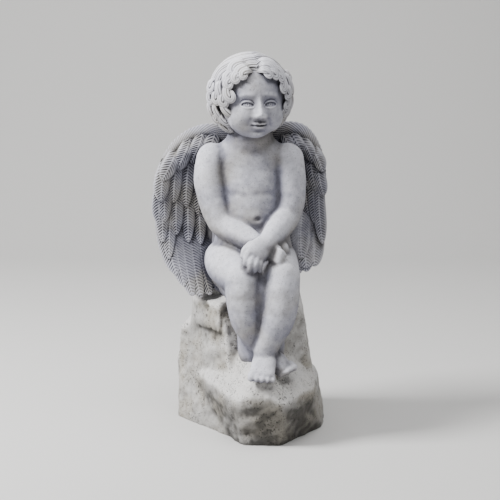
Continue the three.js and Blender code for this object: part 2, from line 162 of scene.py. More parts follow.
# Head, in its own axes, with sizes from the middle of the skull, turned about the neck
HEAD_MIDDLE = np.array([1.0, 2.0, 541.0])
HEAD_TURN = math.radians(14)
HEAD_EGGS = [
    ((0, 0, 0), (55, 58, 60)),
    ((0, -16, -17), (47, 46, 48)),
    ((21, -30, -30), (24, 22, 24)),
    ((-21, -30, -30), (24, 22, 24)),
    ((0, -30, -46), (22, 18, 17)),
]
HEAD_CENTRE = np.array([0.0, -8.0, -10.0])
EGG_BLEND = 36
FRONT_CROWDING = 0.62
EYE_SIDE = 18.5
EYE_LINE = -10.0
EYE_WIDTH = 9.8
IRIS = 3.5
NOSE_TIP = -25.0
MOUTH_LINE = -42.0

# Hair
HAIR_MIDDLE = np.array([0.0, 9.0, 4.0])
HAIR_RADII = np.array([64.0, 64.0, 65.0])
HAIRLINE = {"above": 34, "beside": 49, "nape": 116}
HAIR_BACK = 178
HAIR_PARTING = math.radians(-6)
# Tresses along the brow: degrees from the parting, degrees back, length and curl of the end
BROW_TRESSES = [
    (2, 19, 60, 3.2),
    (2, 10, 50, 3.8),
    (28, 12, 46, 4.0),
    (2, 2, 38, 4.8),
    (22, 3, 36, 4.8),
    (41, 5, 36, 4.8),
]
CAP_STRANDS = 36
CAP_BACK_STRANDS = 28
CAP_LOCKS = 8
LOCK_STRANDS = 3.4
LOCK_FLATNESS = 0.5

# Wings, drawn in the front view as x and z, and bent back in y by the wing's own surface
WING_SPINE = 68
WING_SWEEP = 0.1
WING_CURL = {"below": 318, "drop": 100, "forward": 62}
FEATHER_TIP = 0.4
FEATHER_CROWN = 1.2
FEATHER_LEAN = 2.4
FEATHER_ROW_STEP = 1.0
FEATHER_FRONT_COLUMNS = 26
FEATHER_BACK_COLUMNS = 4
FEATHER_BACK = 2.5
FEATHER_BACK_SHARE = 0.25
FEATHER_BACK_LEAN = 1.2
ROOT_SINK = 13
ROOT_LENGTH = 22
BARB_PITCH = 4.6
BARB_SLANT = 0.9
BARB_DEPTH = 0.75
ARM_PITCH = 6.5
ARM_SLANT = 4.4
ARM_DEPTH = 0.75
RIGHT_WEB = [
    (-48, 62, 452, 24, 10),
    (-50, 60, 380, 28, 10),
    (-52, 58, 300, 26, 10),
    (-50, 48, 236, 18, 9),
]
LEFT_WEB = [(-x, y, z, w, d) for x, y, z, w, d in RIGHT_WEB]
RIGHT_WING_ARM = [
    (-28, 66, 458, 16, 11),
    (-62, 72, 475, 16, 14),
    (-96, 70, 468, 15, 14),
    (-125, 62, 447, 12, 12),
    (-144, 57, 412, 9, 9),
    (-152, 54, 376, 6, 6),
]
LEFT_WING_ARM = [
    (28, 66, 458, 16, 11),
    (58, 72, 478, 16, 14),
    (83, 70, 476, 15, 14),
    (103, 64, 457, 12, 12),
    (116, 60, 424, 9, 9),
    (121, 56, 390, 6, 6),
]
Row = namedtuple("Row", "roots tips bow count width thick")
RIGHT_ROWS = [
    Row([(-70, 370), (-105, 400), (-140, 390)], [(-50, 222), (-86, 211), (-120, 246)], -22, 6, 17, 6),
    Row([(-124, 400), (-136, 404), (-144, 400)], [(-134, 270), (-145, 296), (-150, 326)], -7, 3, 13, 8.5),
    Row([(-78, 430), (-105, 430), (-134, 430)], [(-82, 292), (-112, 300), (-141, 330)], -7, 4, 15, 11),
    Row([(-74, 462), (-105, 458), (-136, 432)], [(-86, 342), (-116, 360), (-147, 364)], -6, 4, 15, 14),
    Row([(-58, 476), (-88, 472), (-120, 452)], [(-76, 436), (-110, 424), (-146, 400)], 4, 4, 15, 17),
]
LEFT_LOBES = [
    Row([(84, 352), (100, 362), (114, 350)], [(80, 246), (94, 250), (108, 258)], 10, 3, 19, 6),
    Row([(86, 362), (92, 366)], [(78, 254), (94, 256)], 8, 2, 24, 9),
    Row([(88, 366), (90, 366)], [(82, 270), (86, 270)], 7, 2, 19, 13),
]
LEFT_ROWS = [
    Row([(70, 420), (98, 424), (114, 406)], [(84, 346), (104, 336), (121, 294)], 5, 4, 12, 14),
    Row([(62, 456), (92, 452), (112, 430)], [(82, 388), (104, 384), (123, 374)], 5, 4, 12, 16),
    Row([(54, 474), (76, 474), (100, 456)], [(74, 436), (96, 434), (120, 414)], -4, 4, 12, 18),
]

# Rock: each block is bounded by flats, given by a point on the flat, the compass angle (0 at +X,
# 90 at the back) and the climb of the way it faces.
Block = namedtuple("Block", "middle sharpness flats")
BLOCKS = [
    Block((5, -20, 50), 44, [
        ((0, 0, -40), 0, -90),
        ((-55, -72, 78), 206, -8),
        ((-55, -72, 78), 210, 38),
        ((-22, -134, 56), 240, -8),
        ((36, -149, 62), -90, -13),
        ((19, -144, 98), -95, 32),
        ((20, -115, 119), -90, 71),
        ((80, -104, 40), -34, -11),
        ((66, -108, 100), -52, 44),
        ((97, -60, 96), -26, 46),
        ((102, 10, 90), 2, 44),
        ((118, -5, 30), -6, 9),
        ((119, 60, 40), 14, 4),
        ((92, 98, 50), 48, 6),
        ((0, 118, 60), 91, 5),
        ((-112, 108, 50), 146, 2),
        ((-127, 90, 40), 180, 0),
    ]),
    Block((-10, 40, 100), 68, [
        ((0, 0, -40), 0, -90),
        ((-121, 60, 110), 180, 0),
        ((-112, 60, 156), 195, 45),
        ((-43, -38, 184), 216, 7),
        ((-43, -38, 184), -70, 22),
        ((60, -50, 140), -48, 10),
        ((84, 20, 140), 2, 6),
        ((78, 92, 120), 46, 10),
        ((0, 117, 120), 90, 12),
        ((-88, 92, 120), 136, 8),
        ((0, 0, 204), 180, 84),
    ]),
    Block((-40, 30, 185), 80, [
        ((-64, -15, 160), 212, -66),
        ((-50, -40, 190), 212, 4),
        ((-50, -40, 190), -55, 3),
        ((-97, 30, 190), 182, 2),
        ((30, 20, 190), 10, 0),
        ((-40, 85, 190), 90, 4),
        ((-60, 0, 209), 200, 80),
    ]),
    Block((25, 30, 175), 60, [
        ((0, 0, 90), 0, -90),
        ((-14, -40, 190), 215, 4),
        ((20, -58, 190), -88, 14),
        ((64, -44, 190), -48, 9),
        ((86, 20, 200), 2, 8),
        ((70, 82, 190), 46, 8),
        ((0, 106, 190), 90, 8),
        ((-60, 80, 190), 136, 8),
        ((0, 0, 214), 0, 87),
    ]),
]
ROCK_PITCH = 2.4
# Breaks in the rock: the height of the ridges, the size of the hollows and a seed
BREAKS = [(3.6, 54, 31), (1.8, 24, 34)]
BREAK_LEVEL = 3.4
ROCK_GRAIN = 1.1
PIT_DEPTH = 1.8
SKIN_OF_ALL_PITCH = 2.6
HOLLOW_DEPTH = 0.35
FACING_MELT = 7

# Finishes: four tones, the size of the sand, and how patchy, grainy, speckled and pocked the stone is
Finish = namedtuple("Finish", "colours sand_size patchy grain speckled pocked")
Colours = namedtuple("Colours", "pale tone dark warm")
# pale stands for worn stone and for painted light on faces turned up; dark for grime and painted shade,
# and also for sand specks and pits
SKIN_COLOURS = Colours((224, 224, 232), (138, 138, 151), (54, 54, 66), (150, 147, 146))
FEATHER_COLOURS = Colours((186, 186, 195), (124, 124, 134), (42, 42, 52), (134, 131, 127))
HAIR_COLOURS = Colours((236, 236, 243), (172, 171, 178), (44, 43, 48), (170, 166, 160))
ROCK_COLOURS = Colours((226, 224, 222), (160, 158, 155), (58, 56, 54), (162, 157, 147))
FINISHES = {
    "skin_stone": Finish(SKIN_COLOURS, 2.4, 0.34, 0.5, 0.45, 0),
    "feather_stone": Finish(FEATHER_COLOURS, 1.5, 0.2, 0.3, 0.15, 0),
    "hair_stone": Finish(HAIR_COLOURS, 1.5, 0.15, 0.3, 0.12, 0),
    "rock_stone": Finish(ROCK_COLOURS, 3.2, 0.12, 1.0, 0.5, 0.7),
}
PATCH_SIZE = 55
BLOTCH_SIZE = 9
POCK_SIZE = 2.8
POCK_CLUSTER = 26
GRAIN_DEPTH = 0.8

# Grime and painted shade: each piece's finish, how much its nooks, recesses, cut lines, undersides
# and carved strands are darkened, both as grime and as painted shade where less light falls, how far
# that spreads, and the most there is
ShadeAndGrime = namedtuple("ShadeAndGrime", "finish nooks recesses cuts undersides carved melt most")
SHADE_AND_GRIME = {
    "body": ShadeAndGrime("skin_stone", 0.2, 0.26, 0.2, 0.55, 0, 3, 0.62),
    "head": ShadeAndGrime("skin_stone", 0.2, 0.18, 0.25, 0.18, 0, 1, 0.7),
    "hair_cap": ShadeAndGrime("hair_stone", 0.25, 0.2, 0.25, 0.34, 0.25, 0, 0.9),
    "tresses": ShadeAndGrime("hair_stone", 0.3, 0.2, 0.3, 0.3, 0.3, 0, 0.9),
    "right_wing": ShadeAndGrime("feather_stone", 0.3, 0.22, 0.25, 0.14, 0.16, 0, 0.9),
    "left_wing": ShadeAndGrime("feather_stone", 0.3, 0.16, 0.25, 0.14, 0.16, 0, 0.9),
    # The lobes take the paler skin finish and no recess darkening: painted light, a lit copy of the
    # feather stone
    "left_lobes_painted_lit": ShadeAndGrime("skin_stone", 0.18, 0, 0.25, 0.14, 0.2, 0, 0.9),
    "rock": ShadeAndGrime("rock_stone", 0.08, 0.2, 0.12, 1.3, 0.2, 3, 0.78),
}
GRIME_ALL_OVER = 0.2
# Faces turned up less than this are darkened and faces above it paled: painted light from above, as well
# as rain-washing
WASHED_AND_LIT_SLOPE = 0.2
NOOK_REACH = 4
RECESS_REACH = 14
CUT_MELT = 8
# Shelter is felt this many reaches out from the skin, where the bell over a flat face comes to
# exp(-SPOT_OUT^2 / 2) / sqrt(2 pi)
SPOT_OUT = 1.2
FLAT_SHARE = 0.194

# Camera and lights
CAMERA_BACK = 2300
CAMERA_HEIGHT = 700
CAMERA_DIP = 10.1
CAMERA_LENS = 102.7
CAMERA_SENSOR = 36
LIT_POINT = (0, 0, 300)
Lamp = namedtuple("Lamp", "name place size power")
LAMPS = [
    Lamp("key", (-1700, -400, 1900), 700, 120),
    Lamp("overhead", (200, -300, 2800), 2000, 70),
    Lamp("fill", (1500, -1900, 900), 1600, 3),
]
SKY_COLOUR = (0.9, 0.93, 1.0, 1.0)
SKY_STRENGTH = 0.08
FLOOR_COLOUR = (206, 205, 203)

Shell = namedtuple("Shell", "points faces carved")


def unit(vectors):
    """Vectors cut to length one."""
    return vectors / np.maximum(np.linalg.norm(vectors, axis=-1, keepdims=True), 1e-9)


def ease(low, high, x):
    """A smooth step: 0 below low, 1 above high, and 3s^2 - 2s^3 between."""
    s = np.clip((x - low) / (high - low), 0, 1)
    return s * s * (3 - 2 * s)


def spline(points, t):
    """A smooth curve through the points at shares t of the way: each span is a cubic whose end
    slopes come from its neighbours, spaced by the square root of their distance."""
    points = np.asarray(points, float)
    ends = np.vstack([2 * points[0] - points[1], points, 2 * points[-1] - points[-2]])
    place = np.clip(t, 0, 1) * (len(points) - 1)
    i = np.minimum(place.astype(int), len(points) - 2)
    f = (place - i)[:, None]
    p0, p1, p2, p3 = ends[i], ends[i + 1], ends[i + 2], ends[i + 3]
    d0, d1, d2 = (
        np.sqrt(np.maximum(np.linalg.norm(b - a, axis=1, keepdims=True), 1e-4))
        for a, b in ((p0, p1), (p1, p2), (p2, p3))
    )
    m1 = ((p1 - p0) / d0 - (p2 - p0) / (d0 + d1) + (p2 - p1) / d1) * d1
    m2 = ((p2 - p1) / d1 - (p3 - p1) / (d1 + d2) + (p3 - p2) / d2) * d1
    return (
        (2 * f**3 - 3 * f**2 + 1) * p1
        + (f**3 - 2 * f**2 + f) * m1
        + (3 * f**2 - 2 * f**3) * p2
        + (f**3 - f**2) * m2
    )


def lattice(cells, seed):
    """A fixed random number from -1 to 1 for each whole-number cell, by mixing its three numbers."""
    x, y, z = (cells[..., k].astype(np.uint32) for k in range(3))
    mixed = x * np.uint32(374761393) + y * np.uint32(668265263) + z * np.uint32(2246822519)
    mixed = mixed + np.uint32(seed * 97531)
    mixed = (mixed ^ (mixed >> np.uint32(13))) * np.uint32(1274126177)
    mixed = mixed ^ (mixed >> np.uint32(16))
    return (mixed & np.uint32(0xFFFFFF)) / float(0x7FFFFF) - 1


def blended(low, f, values_at):
    """The values at the eight corners of each cell above low, mixed by the shares f of the way."""
    total = 0
    for corner in np.ndindex(2, 2, 2):
        share = np.prod(np.where(corner, f, 1 - f), axis=-1)
        total = total + share * values_at(low + np.array(corner))
    return total


def noise(points, cell, seed):
    """Smooth random values from -1 to 1: the numbers at the eight corners of a cell of that size,
    eased between. The cells are turned a way of their own for each seed, so that none line up."""
    turned = np.linalg.qr(np.random.default_rng(seed).normal(size=(3, 3)))[0]
    scaled = np.asarray(points) @ turned / cell + 1000
    low = np.floor(scaled).astype(np.int64)
    f = scaled - low
    return blended(low, f * f * (3 - 2 * f), lambda cells: lattice(cells, seed))


def scoops(points, cell, seed):
    """Hollows that meet in ridges: the distance to the nearest of a set of random spots, one to each
    cell, in cells."""
    scaled = points / cell + 1000
    low = np.floor(scaled).astype(np.int64)
    nearest = np.full(len(points), np.inf)
    for step in np.ndindex(3, 3, 3):
        corner = low + np.array(step) - 1
        spot = corner + 0.5 + 0.5 * np.stack([lattice(corner, seed + k) for k in range(3)], -1)
        nearest = np.minimum(nearest, np.linalg.norm(scaled - spot, axis=1))
    return nearest


def rough(points, cell, octaves, seed):
    """Noise with finer and fainter copies of itself added, each half the size of the last."""
    return sum(noise(points, cell / 2**k, seed + k) / 2**k for k in range(octaves))


def closed(grid, carved=None):
    """A grid of rings as a closed shell: neighbours joined in triangles and each end ring drawn to
    a pole at its middle, turned so that it holds a positive volume. carved goes with each point."""
    rows, columns, _ = grid.shape
    carved = np.zeros((rows, columns)) if carved is None else carved
    points = np.vstack([grid.reshape(-1, 3), grid[0].mean(0), grid[-1].mean(0)])
    marks = np.concatenate([carved.ravel(), [carved[0].mean(), carved[-1].mean()]])
    here = np.arange((rows - 1) * columns)
    beside = here - here % columns + (here + 1) % columns
    ring = np.arange(columns)
    following = (ring + 1) % columns
    last = (rows - 1) * columns
    faces = np.vstack([
        np.stack([here, beside, beside + columns], 1),
        np.stack([here, beside + columns, here + columns], 1),
        np.stack([np.full(columns, rows * columns), following, ring], 1),
        np.stack([np.full(columns, rows * columns + 1), last + ring, last + following], 1),
    ])
    a, b, c = (points[faces[:, k]] for k in range(3))
    if np.sum(a * np.cross(b, c)) < 0:
        faces = faces[:, ::-1]
    return Shell(points, faces, marks)


def together(shells):
    """Several shells as one list of points and faces."""
    starts = np.cumsum([0] + [len(s.points) for s in shells[:-1]])
    return Shell(
        np.vstack([s.points for s in shells]),
        np.vstack([s.faces + start for s, start in zip(shells, starts)]),
        np.concatenate([s.carved for s in shells]),
    )


def limb(stations, sides=44, rings=60, up=FRONT, domes=9, cut=0.0, slant=0.0):
    """An oval carried along the spline through the stations, with its width across the up
    direction, and with quarter-round ends. Slanting strands are cut into it to that depth."""
    table = np.array([s if len(s) == 5 else (*s, s[3]) for s in stations], float)
    t = np.concatenate([np.zeros(domes), np.linspace(0, 1, rings), np.ones(domes)])
    dome = np.radians(np.linspace(88, 6, domes))
    angle = np.concatenate([-dome, np.zeros(rings), dome[::-1]])
    middle = spline(table[:, :3], t)
    size = spline(table[:, 3:], t)
    along = unit(spline(table[:, :3], t + 1e-3) - spline(table[:, :3], t - 1e-3))
    across = unit(np.cross(up, along))
    deep = np.cross(along, across)
    middle = middle + along * (size.min(1) * np.sin(angle))[:, None]
    size = size * np.cos(angle)[:, None]
    turn = np.linspace(0, 2 * np.pi, sides, endpoint=False)
    run = np.cumsum(np.linalg.norm(np.diff(middle, axis=0, prepend=middle[:1]), axis=1))
    strands = np.sin(2 * np.pi * (run[:, None] / ARM_PITCH + slant * np.cos(turn)[None, :]))
    size = size[:, None, :] + cut * (strands * np.cos(angle)[:, None])[..., None]
    grid = (
        middle[:, None]
        + across[:, None] * size[..., :1] * np.cos(turn)[None, :, None]
        + deep[:, None] * size[..., 1:] * np.sin(turn)[None, :, None]
    )
    return closed(grid, (0.5 - 0.5 * strands) * (cut > 0))


def fan_roots(first, last, sag, steps):
    """Places at those shares of the way from first to last, bowed forwards by the sag."""
    steps = steps[:, None]
    return np.array(first) * (1 - steps) + np.array(last) * steps + FRONT * sag * np.sin(np.pi * steps)


def fan(first, last, point, sag, radii):
    """Toes side by side: short limbs from roots spaced between first and last."""
    shells = []
    roots = fan_roots(first, last, sag, np.linspace(0, 1, len(radii)))
    for root, radius in zip(roots, radii):
        tip = root + np.array(point)
        stations = [(*root, radius), (*(root + tip) / 2, radius * 0.94), (*tip, radius)]
        shells.append(limb(stations, sides=24, rings=16, up=UP))
    return shells


def digits(joints):
    """Fingers that bend at a middle joint and narrow towards the tip."""
    return [
        limb([(*knuckle, r), (*middle, r), (*tip, r * FINGERTIP)], sides=24, rings=30)
        for knuckle, middle, tip, r in joints
    ]


def points_of(mesh):
    """A mesh's points, in millimetres."""
    points = np.empty(len(mesh.vertices) * 3)
    mesh.vertices.foreach_get("co", points)
    return points.reshape(-1, 3) / MM


def discard(holder):
    """Take an object and its mesh out of the scene."""
    mesh = holder.data
    bpy.data.objects.remove(holder)
    bpy.data.meshes.remove(mesh)


def cast(shell, pitch):
    """The shells fused into one skin, the zero level of their distance on a grid of that pitch."""
    holder = fill_mesh("mould", shell)
    holder.modifiers.new("fuse", "REMESH").mode = "VOXEL"
    holder.modifiers["fuse"].voxel_size = pitch * MM
    fused = holder.evaluated_get(bpy.context.evaluated_depsgraph_get()).to_mesh()
    fused.calc_loop_triangles()
    points = points_of(fused)
    faces = np.empty(len(fused.loop_triangles) * 3, dtype=np.int64)
    fused.loop_triangles.foreach_get("vertices", faces)
    discard(holder)
    return Shell(points, faces.reshape(-1, 3), np.zeros(len(points)))


def fill_mesh(name, shell):
    """A new object at the origin whose mesh has the shell's points, in metres, and its faces."""
    mesh = bpy.data.meshes.new(name)
    mesh.vertices.add(len(shell.points))
    mesh.vertices.foreach_set("co", (shell.points * MM).astype(np.float32).ravel())
    mesh.loops.add(shell.faces.size)
    mesh.loops.foreach_set("vertex_index", shell.faces.astype(np.int32).ravel())
    mesh.polygons.add(len(shell.faces))
    mesh.polygons.foreach_set("loop_start", np.arange(0, shell.faces.size, 3, dtype=np.int32))
    mesh.polygons.foreach_set("use_smooth", np.ones(len(shell.faces), dtype=bool))
    mesh.update(calc_edges=True)
    holder = bpy.data.objects.new(name, mesh)
    bpy.context.scene.collection.objects.link(holder)
    return holder


def normals_and_areas(shell):
    """Each point's outward normal and its share of the surface, from the faces round it."""
    a, b, c = (shell.points[shell.faces[:, k]] for k in range(3))
    cross = np.cross(b - a, c - a) / 2
    size = np.linalg.norm(cross, axis=1)
    corners = shell.faces.ravel()
    count = len(shell.points)
    normal = np.stack([np.bincount(corners, np.repeat(cross[:, k], 3), count) for k in range(3)], 1)
    return unit(normal), np.bincount(corners, np.repeat(size / 3, 3), count)


def melted(shell, values, times, share=0.5):
    """Rows of values on the points, each drawn towards the mean of its neighbours, over and over."""
    ends = np.vstack([shell.faces[:, [0, 1]], shell.faces[:, [1, 2]], shell.faces[:, [2, 0]]])
    here, there = ends.T
    count = len(shell.points)
    degree = np.maximum(np.bincount(here, minlength=count), 1)
    for _ in range(times):
        mean = np.stack([np.bincount(here, row[there], count) for row in values.T], 1)
        values = values + share * (mean / degree[:, None] - values)
    return values


def relax(shell, times):
    """The shell with its hard edges melted."""
    return shell._replace(points=melted(shell, shell.points, times))


def raised(shell, height):
    """Points moved out along their normals by that height."""
    return shell._replace(points=shell.points + normals_and_areas(shell)[0] * height[:, None])


def bump(points, middle, spread):
    """A round rise of height 1 at middle that fades with distance as a bell curve."""
    return np.exp(-0.5 * np.sum(((points - np.array(middle)) / spread) ** 2, axis=1))


def groove(points, start, end, spread):
    """A bell of height 1 across the straight line from start to end."""
    start, end = np.array(start, float), np.array(end, float)
    run = end - start
    share = np.clip((points - start) @ run / (run @ run), 0, 1)
    gap = points - start - share[:, None] * run
    return np.exp(-0.5 * np.sum(gap * gap, axis=1) / spread**2)


def finger_gaps(joints):
    """The lines between neighbouring fingers, knuckle to middle joint and on to the tip."""
    places = np.array([[knuckle, middle, tip] for knuckle, middle, tip, _ in joints], float)
    lines = (places[:-1] + places[1:]) / 2
    return [(gap[k], gap[k + 1]) for gap in lines for k in range(2)]


def toe_gaps(first, last, point, sag, radii):
    """The lines between neighbouring toes of a fan."""
    steps = (np.arange(len(radii) - 1) + 0.5) / (len(radii) - 1)
    roots = fan_roots(first, last, sag, steps)
    return [(root - 0.6 * np.array(point), root + 2.2 * np.array(point)) for root in roots]


def fleshed(shells, melt):
    """Limbs fused and melted into one form."""
    return relax(cast(together(shells), BODY_PITCH), melt)


def skin_relief(p):
    """How far the skin stands out at each point: bells for the navel, breasts and knees, with folds
    under them, fine grain, and lines cut between the fingers and toes."""
    height = NAVEL_RIM * bump(p, NAVEL, (9, 14, 8)) - NAVEL_DEPTH * bump(p, NAVEL, (3.4, 12, 2.4))
    height = height + SKIN_GRAIN * rough(p, 9, 3, 21)
    for side in (-1, 1):
        breast = 1 + BREAST_SIDE * side
        fold = groove(p, (breast + 12 * side, -20, 389), (breast - 16 * side, -30, 386), 4)
        height = height + BREAST_RISE * bump(p, (breast, -24, 404), (17, 16, 13)) - BREAST_FOLD * fold
    for x, y, z in KNEES:
        height = height + KNEE_RISE * bump(p, (x, y, z), (12, 16, 11))
        height = height - KNEE_FOLD * bump(p, (x, y, z - KNEE_FOLD_DROP), (12, 16, 6))
    gaps = finger_gaps(LEFT_DIGITS) + finger_gaps(RIGHT_DIGITS)
    gaps = gaps + toe_gaps(**LEFT_TOES, radii=TOE_RADII) + toe_gaps(**RIGHT_TOES, radii=TOE_RADII)
    for start, end in gaps:
        height = height - GAP_DEPTH * groove(p, start, end, GAP_WIDTH)
    return height


def below_shoulder(arm):
    """An arm without its first station and slimmer at the next, so that it grows out of the shoulder."""
    x, y, z, radius = arm[1]
    return [(x, y, z - SHOULDER_DROP, radius * SHOULDER_SLIMMING), *arm[2:]]


def make_body():
    """Trunk, arms and legs, each fused and melted by itself so that creases stay crisp between them,
    then fused with the fingers, the toes and the stone that fills the gaps."""
    trunk = [limb(TORSO, sides=72, rings=90), limb(NECK), limb(RIGHT_SIDE), limb(LEFT_SIDE)]
    shoulders = [limb(RIGHT_ARM[:3]), limb(LEFT_ARM[:3]), limb(LAP, up=UP)]
    right_leg = [limb(RIGHT_THIGH, up=UP), limb(RIGHT_SHIN), limb(RIGHT_FOOT, up=UP)]
    right_leg.append(limb(UNDER_THIGH, up=UP))
    left_leg = [limb(LEFT_THIGH, up=UP), limb(LEFT_SHIN), limb(LEFT_FOOT, up=UP)]
    whole = cast(
        together([
            fleshed(trunk + shoulders, TRUNK_MELT),
            fleshed([limb(below_shoulder(RIGHT_ARM)), limb(RIGHT_PALM)], LIMB_MELT),
            fleshed([limb(below_shoulder(LEFT_ARM)), limb(LEFT_PALM)], LIMB_MELT),
            fleshed(right_leg, LIMB_MELT),
            fleshed(left_leg, LIMB_MELT),
            limb(BETWEEN_LEGS),
            *fan(**LEFT_TOES, radii=TOE_RADII),
            *fan(**RIGHT_TOES, radii=TOE_RADII),
            *digits(LEFT_DIGITS),
            *digits(RIGHT_DIGITS),
        ]),
        SKIN_PITCH,
    )
    whole = relax(whole, 2)
    return raised(whole, skin_relief(whole.points))


def ways(azimuth, latitude):
    """Vectors of length one, a row for each latitude and a column for each azimuth, 0 at +X."""
    flat = np.cos(latitude)
    parts = np.broadcast_arrays(flat * np.cos(azimuth), flat * np.sin(azimuth), np.sin(latitude))
    return np.stack(parts, -1)


def on_head(points):
    """Points in the head's own axes, turned about the neck and set in place."""
    cos, sin = math.cos(HEAD_TURN), math.sin(HEAD_TURN)
    x, y, z = points[..., 0], points[..., 1], points[..., 2]
    return np.stack([cos * x - sin * y, sin * x + cos * y, z], -1) + HEAD_MIDDLE


def rise(dx, dz, spread_x, spread_z):
    """A bell of height 1 over the front of the face."""
    return np.exp(-0.5 * ((dx / spread_x) ** 2 + (dz / spread_z) ** 2))


def line(dz, spread):
    """A bell of height 1 across a line."""
    return np.exp(-0.5 * (dz / spread) ** 2)


def eye_relief(dx, dz):
    """An eye: a ball under lids, cut in along an almond, with a rim and a fold above, a thinner rim
    below, and an iris ring and pupil sunk in the ball. dx grows away from the nose."""
    u = np.clip(dx / EYE_WIDTH, -1, 1)
    arch = np.sqrt(1 - u**2)
    upper = 5.0 * arch + 0.5 * u
    lower = -3.3 * arch + 0.5 * u
    within = np.minimum(upper - dz, dz - lower)
    near = ease(1.25, 0.95, np.abs(dx) / EYE_WIDTH)
    cut = ease(0, 0.9, within) * (np.abs(dx) < EYE_WIDTH)
    ball = 4.8 * rise(dx, dz, 8.2, 5.6)
    rims = 1.5 * line(dz - upper - 0.8, 0.9) - 1.0 * line(dz - upper - 3.6, 0.9)
    rims = rims + 0.9 * line(dz - lower + 0.8, 0.9)
    from_pupil = np.hypot(dx, dz - 0.8)
    iris = 0.8 * line(from_pupil - IRIS, 0.5) + 1.4 * line(from_pupil, 1.0)
    return ball + rims * near - cut * (1.5 + iris)


def face_relief(x, z):
    """How far the face stands out from the egg of the head, on the proportions of a small child's
    face: sums of bells for the sockets, brows, eyes, nose, cheeks, lips and chin."""
    side = np.abs(x)
    sockets = -5.6 * rise(side - 17.5, z - EYE_LINE - 3, 10.5, 6.6)
    sockets = sockets - 2.8 * rise(side - 9, z - EYE_LINE, 3.8, 5)
    brow_arc = z - 6.5 + 0.011 * (side - 15) ** 2
    brows = 1.5 * line(brow_arc, 3.4) * ease(3, 13, side) * ease(38, 27, side)
    slope = ease(6, NOSE_TIP, z)
    bridge = (1.5 + 7.2 * slope) * line(x, 4.2 + 1.6 * slope)
    bridge = bridge * ease(11, -9, z) * ease(NOSE_TIP - 11, NOSE_TIP, z)
    nose_tip = 4.2 * rise(x, z - NOSE_TIP - 1, 5.6, 5)
    wings = 3.8 * rise(side - 7.2, z - NOSE_TIP + 2.2, 3, 3)
    nostrils = -1.2 * rise(side - 3.9, z - NOSE_TIP + 6, 2.0, 1.4)
    cheeks = 3.0 * rise(side - 24, z + 29, 10, 10)
    fold = -1.1 * line(side - 13 - 0.35 * (NOSE_TIP - z), 2.2) * ease(-46, -40, z) * ease(-27, -32, z)
    philtrum = -1.0 * rise(x, z - MOUTH_LINE - 7, 1.7, 2.8)
    mouth = z - MOUTH_LINE - 0.005 * x**2
    upper_lip = 3.6 * line(mouth - 2.6 - 0.9 * line(side - 3, 2), 1.6) * ease(13.5, 7, side)
    lower_lip = 4.2 * line(mouth + 3.2, 2.1) * ease(11.5, 5, side)
    lip_line = -2.8 * line(mouth, 0.8) * ease(14, 10, side)
    corners = -1.2 * rise(side - 12.5, mouth, 2, 2)
    under_lip = -2.4 * rise(x, z - MOUTH_LINE + 8.4, 8, 2.6)
    muzzle = 2.6 * rise(x, z - MOUTH_LINE - 1, 10, 8)
    chin = 4.6 * rise(x, z + 57.5, 8, 5.2)
    return (
        eye_relief(side - EYE_SIDE, z - EYE_LINE) + sockets + brows + bridge + nose_tip + wings
        + nostrils + cheeks + fold + philtrum + upper_lip + lower_lip + lip_line + corners
        + under_lip + muzzle + chin
    )


def make_head(columns=280, rows=200):
    """The head under the hair: along each direction from its centre, a power mean of the distances
    to several eggs, with columns crowded to the front and the face raised forwards."""
    even = np.linspace(0, 2 * np.pi, columns, endpoint=False)
    azimuth = even - FRONT_CROWDING * np.sin(even) - np.pi / 2
    way = ways(azimuth, np.radians(np.linspace(-88, 88, rows))[:, None])
    reach = 0
    for middle, radii in HEAD_EGGS:
        start = (HEAD_CENTRE - np.array(middle)) / radii
        step = way / radii
        a = np.sum(step * step, -1)
        b = np.sum(step * start, -1)
        c = np.sum(start * start) - 1
        root = b * b - a * c
        far = np.where(root > 0, (np.sqrt(np.maximum(root, 0)) - b) / a, 0)
        reach = reach + np.maximum(far, 0) ** EGG_BLEND
    grid = HEAD_CENTRE + way * (reach ** (1 / EGG_BLEND))[..., None]
    facing = ease(0.05, 0.5, -way[..., 1])
    grid[..., 1] -= face_relief(grid[..., 0], grid[..., 2]) * facing
    return closed(on_head(grid))


def hairline(clock):
    """The angle away from the way the face looks at which the hair begins, in degrees."""
    down = np.abs(clock) / np.pi
    stops = [HAIRLINE["above"], HAIRLINE["beside"], HAIRLINE["nape"]]
    return np.interp(down, [0, 0.5, 1], stops)


def on_cap(clock, away, lift):
    """A point of the hair cap: a clock angle about the face, an angle away from it, and a lift."""
    way = np.stack([np.sin(away) * np.sin(clock), -np.cos(away), np.sin(away) * np.cos(clock)], -1)
    return way * (HAIR_RADII + np.asarray(lift)[..., None]) + HAIR_MIDDLE


